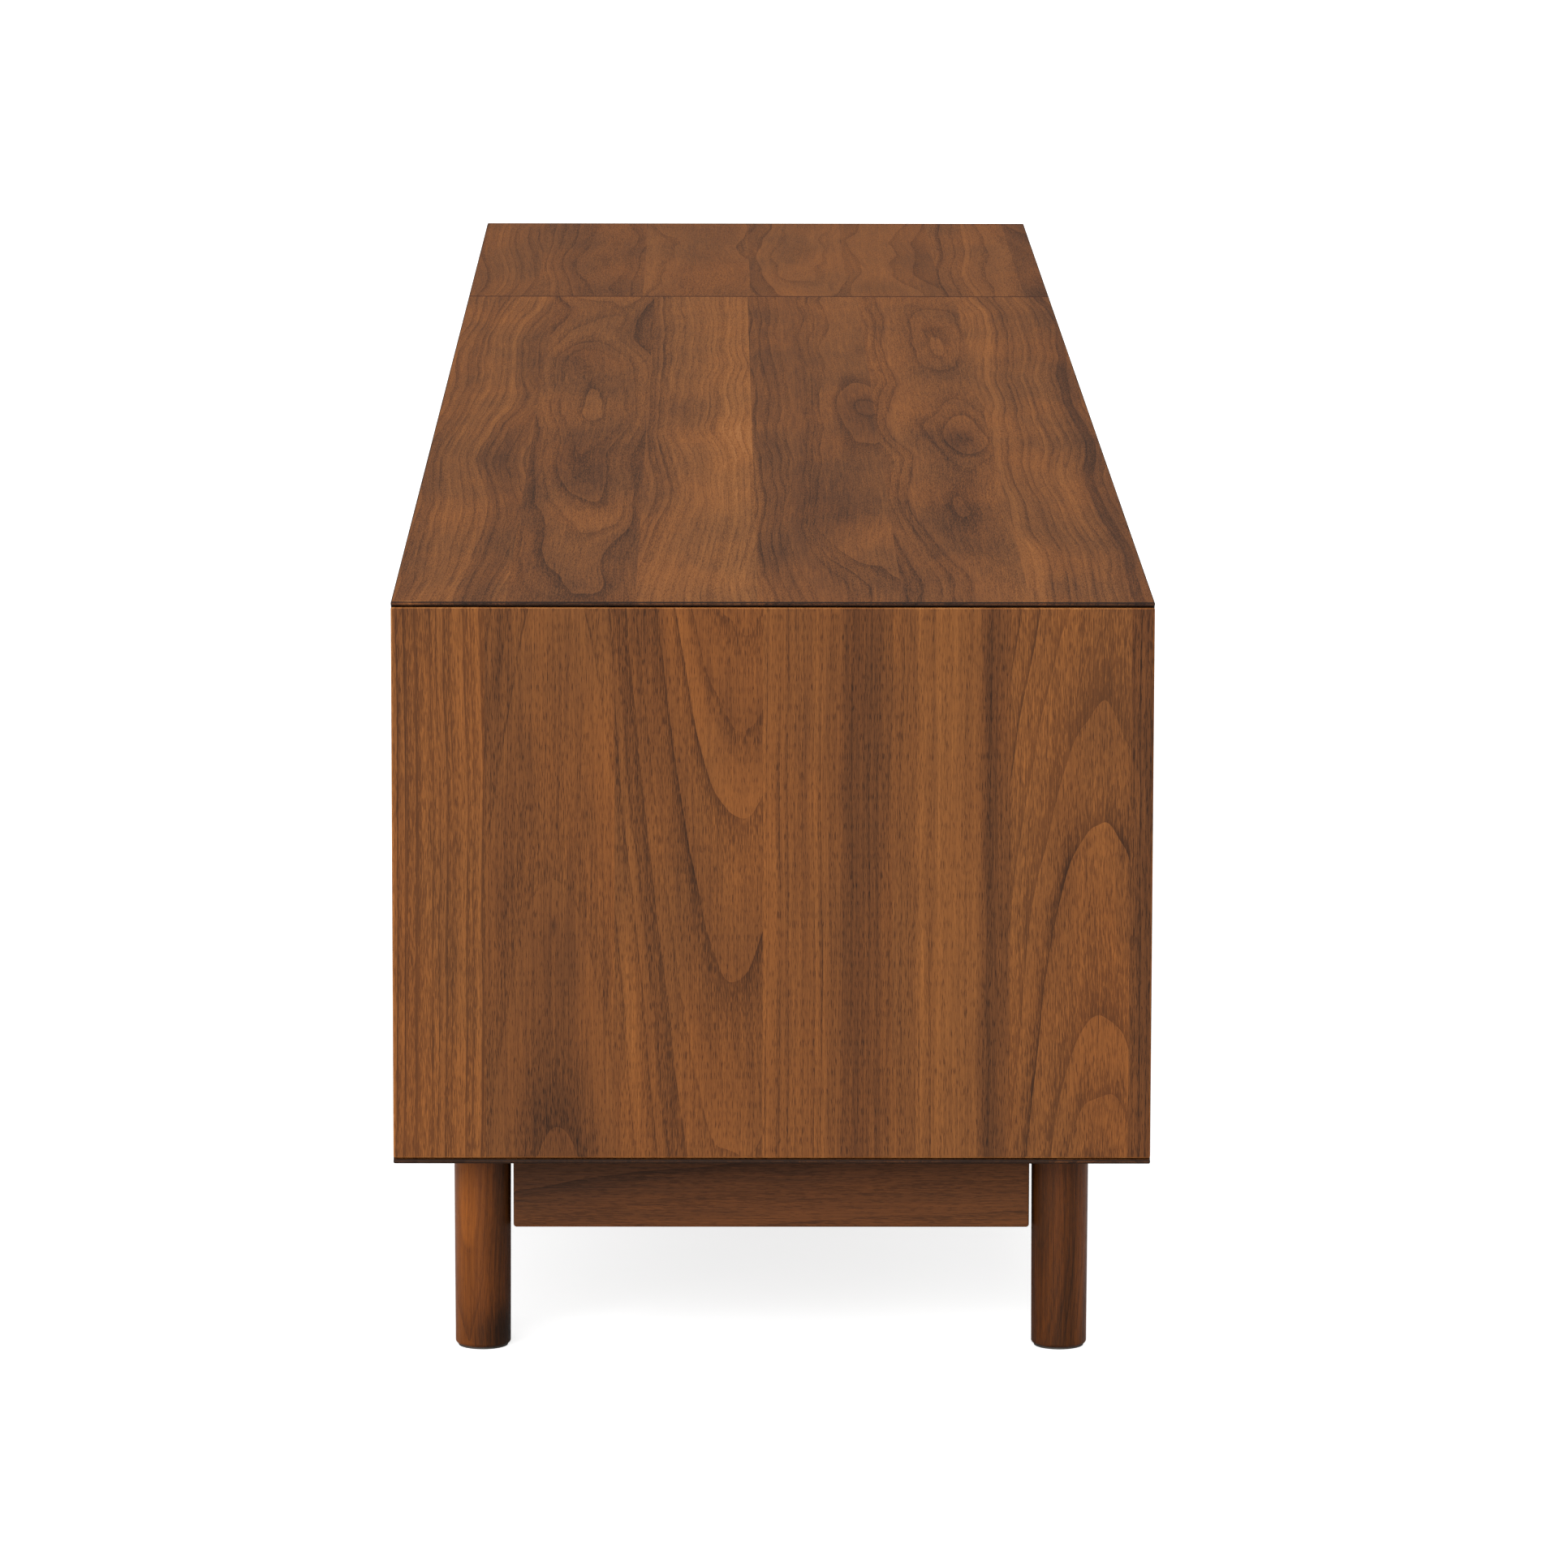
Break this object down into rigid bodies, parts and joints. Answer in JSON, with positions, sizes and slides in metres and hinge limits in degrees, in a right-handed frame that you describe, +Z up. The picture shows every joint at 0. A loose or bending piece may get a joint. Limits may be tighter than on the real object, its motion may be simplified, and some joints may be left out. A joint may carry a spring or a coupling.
{
  "type": "media cabinet",
  "caption": "Long low walnut media cabinet with mitred case, round legs and aprons, hinged end doors, an open cubby over drawers, and cable ports in the back.",
  "frame": {"origin": "centre of the footprint on the floor", "axes": "+X along the length to the right of someone facing the front, -Y out of the front, +Z up"},
  "size_m": [2, 0.4, 0.408],
  "materials": {
    "walnut_top": "satin lacquered walnut veneer, grain along the length",
    "walnut_end": "satin lacquered walnut veneer, grain upright",
    "walnut_case": "satin lacquered walnut veneer",
    "walnut_front": "satin lacquered walnut veneer, grain along the length",
    "walnut_back": "matt walnut veneer",
    "walnut_leg": "turned solid walnut, glossy lacquer",
    "walnut_apron": "solid walnut, satin",
    "birch": "clear matt birch",
    "zinc_steel": "zinc plated",
    "bright_steel": "brushed nickel",
    "black_plastic": "fine moulded texture",
    "glide_plastic": "matte",
    "clear_rubber": "soft translucent bumper"
  },
  "bodies": {
    "case": {"top_panel_main": "walnut_top", "top_panel_short": "walnut_top", "end_panel_left": "walnut_end", "end_panel_right": "walnut_end", "bottom_panel": "walnut_case", "partition_left": "walnut_case", "partition_right": "walnut_case", "cubby_shelf": "walnut_case", "drawer_divider": "walnut_case", "adjustable_shelf_left": "walnut_case", "adjustable_shelf_right": "walnut_case", "back_panel_left": "walnut_back", "back_panel_centre": "walnut_back", "back_panel_right": "walnut_back", "back_panel_screws": "zinc_steel", "apron_screws": "zinc_steel", "leg_bolts": "zinc_steel", "leg_threaded_inserts": "zinc_steel", "cable_grommets": "black_plastic", "mitre_splines": "birch", "case_dowels": "birch", "shelf_pins": "bright_steel", "leg_front_left": "walnut_leg", "leg_front_right": "walnut_leg", "leg_back_left": "walnut_leg", "leg_back_right": "walnut_leg", "leg_glides": "glide_plastic", "apron_left": "walnut_apron", "apron_right": "walnut_apron", "apron_front": "walnut_apron", "apron_back": "walnut_apron", "pivot_bushes": "bright_steel", "magnetic_catches": "black_plastic", "drawer_cabinet_rails": "zinc_steel"},
    "door_left": {"door_left": "walnut_front", "door_left_pivots": "bright_steel", "door_left_strike_plate": "bright_steel", "door_left_bumpers": "clear_rubber"},
    "door_right": {"door_right": "walnut_front", "door_right_pivots": "bright_steel", "door_right_strike_plate": "bright_steel", "door_right_bumpers": "clear_rubber"},
    "drawer_left": {"drawer_left_front": "walnut_front", "drawer_left_box_front": "birch", "drawer_left_outer_side": "birch", "drawer_left_inner_side": "birch", "drawer_left_back": "birch", "drawer_left_bottom": "birch", "drawer_left_screws": "zinc_steel", "drawer_left_rails": "zinc_steel"},
    "drawer_left_middle": {"drawer_left_middle_rails": "zinc_steel"},
    "drawer_right": {"drawer_right_front": "walnut_front", "drawer_right_box_front": "birch", "drawer_right_outer_side": "birch", "drawer_right_inner_side": "birch", "drawer_right_back": "birch", "drawer_right_bottom": "birch", "drawer_right_screws": "zinc_steel", "drawer_right_rails": "zinc_steel"},
    "drawer_right_middle": {"drawer_right_middle_rails": "zinc_steel"}
  },
  "joints": [
    {"name": "door_left_hinge", "type": "hinge", "parent": "case", "child": "door_left", "pos_m": [-0.9565, -0.194, 0.258], "axis": [0, 0, -1], "range_deg": [0, 110]},
    {"name": "door_right_hinge", "type": "hinge", "parent": "case", "child": "door_right", "pos_m": [0.9565, -0.194, 0.258], "axis": [0, 0, 1], "range_deg": [0, 110]},
    {"name": "drawer_left_slide", "type": "slide", "parent": "case", "child": "drawer_left", "axis": [0, -1, 0], "range_m": [0, 0.3]},
    {"name": "drawer_left_middle_slide", "type": "slide", "parent": "case", "child": "drawer_left_middle", "axis": [0, -1, 0], "range_m": [0, 0.15]},
    {"name": "drawer_right_slide", "type": "slide", "parent": "case", "child": "drawer_right", "axis": [0, -1, 0], "range_m": [0, 0.3]},
    {"name": "drawer_right_middle_slide", "type": "slide", "parent": "case", "child": "drawer_right_middle", "axis": [0, -1, 0], "range_m": [0, 0.15]}
  ],
  "couplings": [
    {"joint": "drawer_left_middle_slide", "follows": "drawer_left_slide", "ratio": 0.5},
    {"joint": "drawer_right_middle_slide", "follows": "drawer_right_slide", "ratio": 0.5}
  ]
}
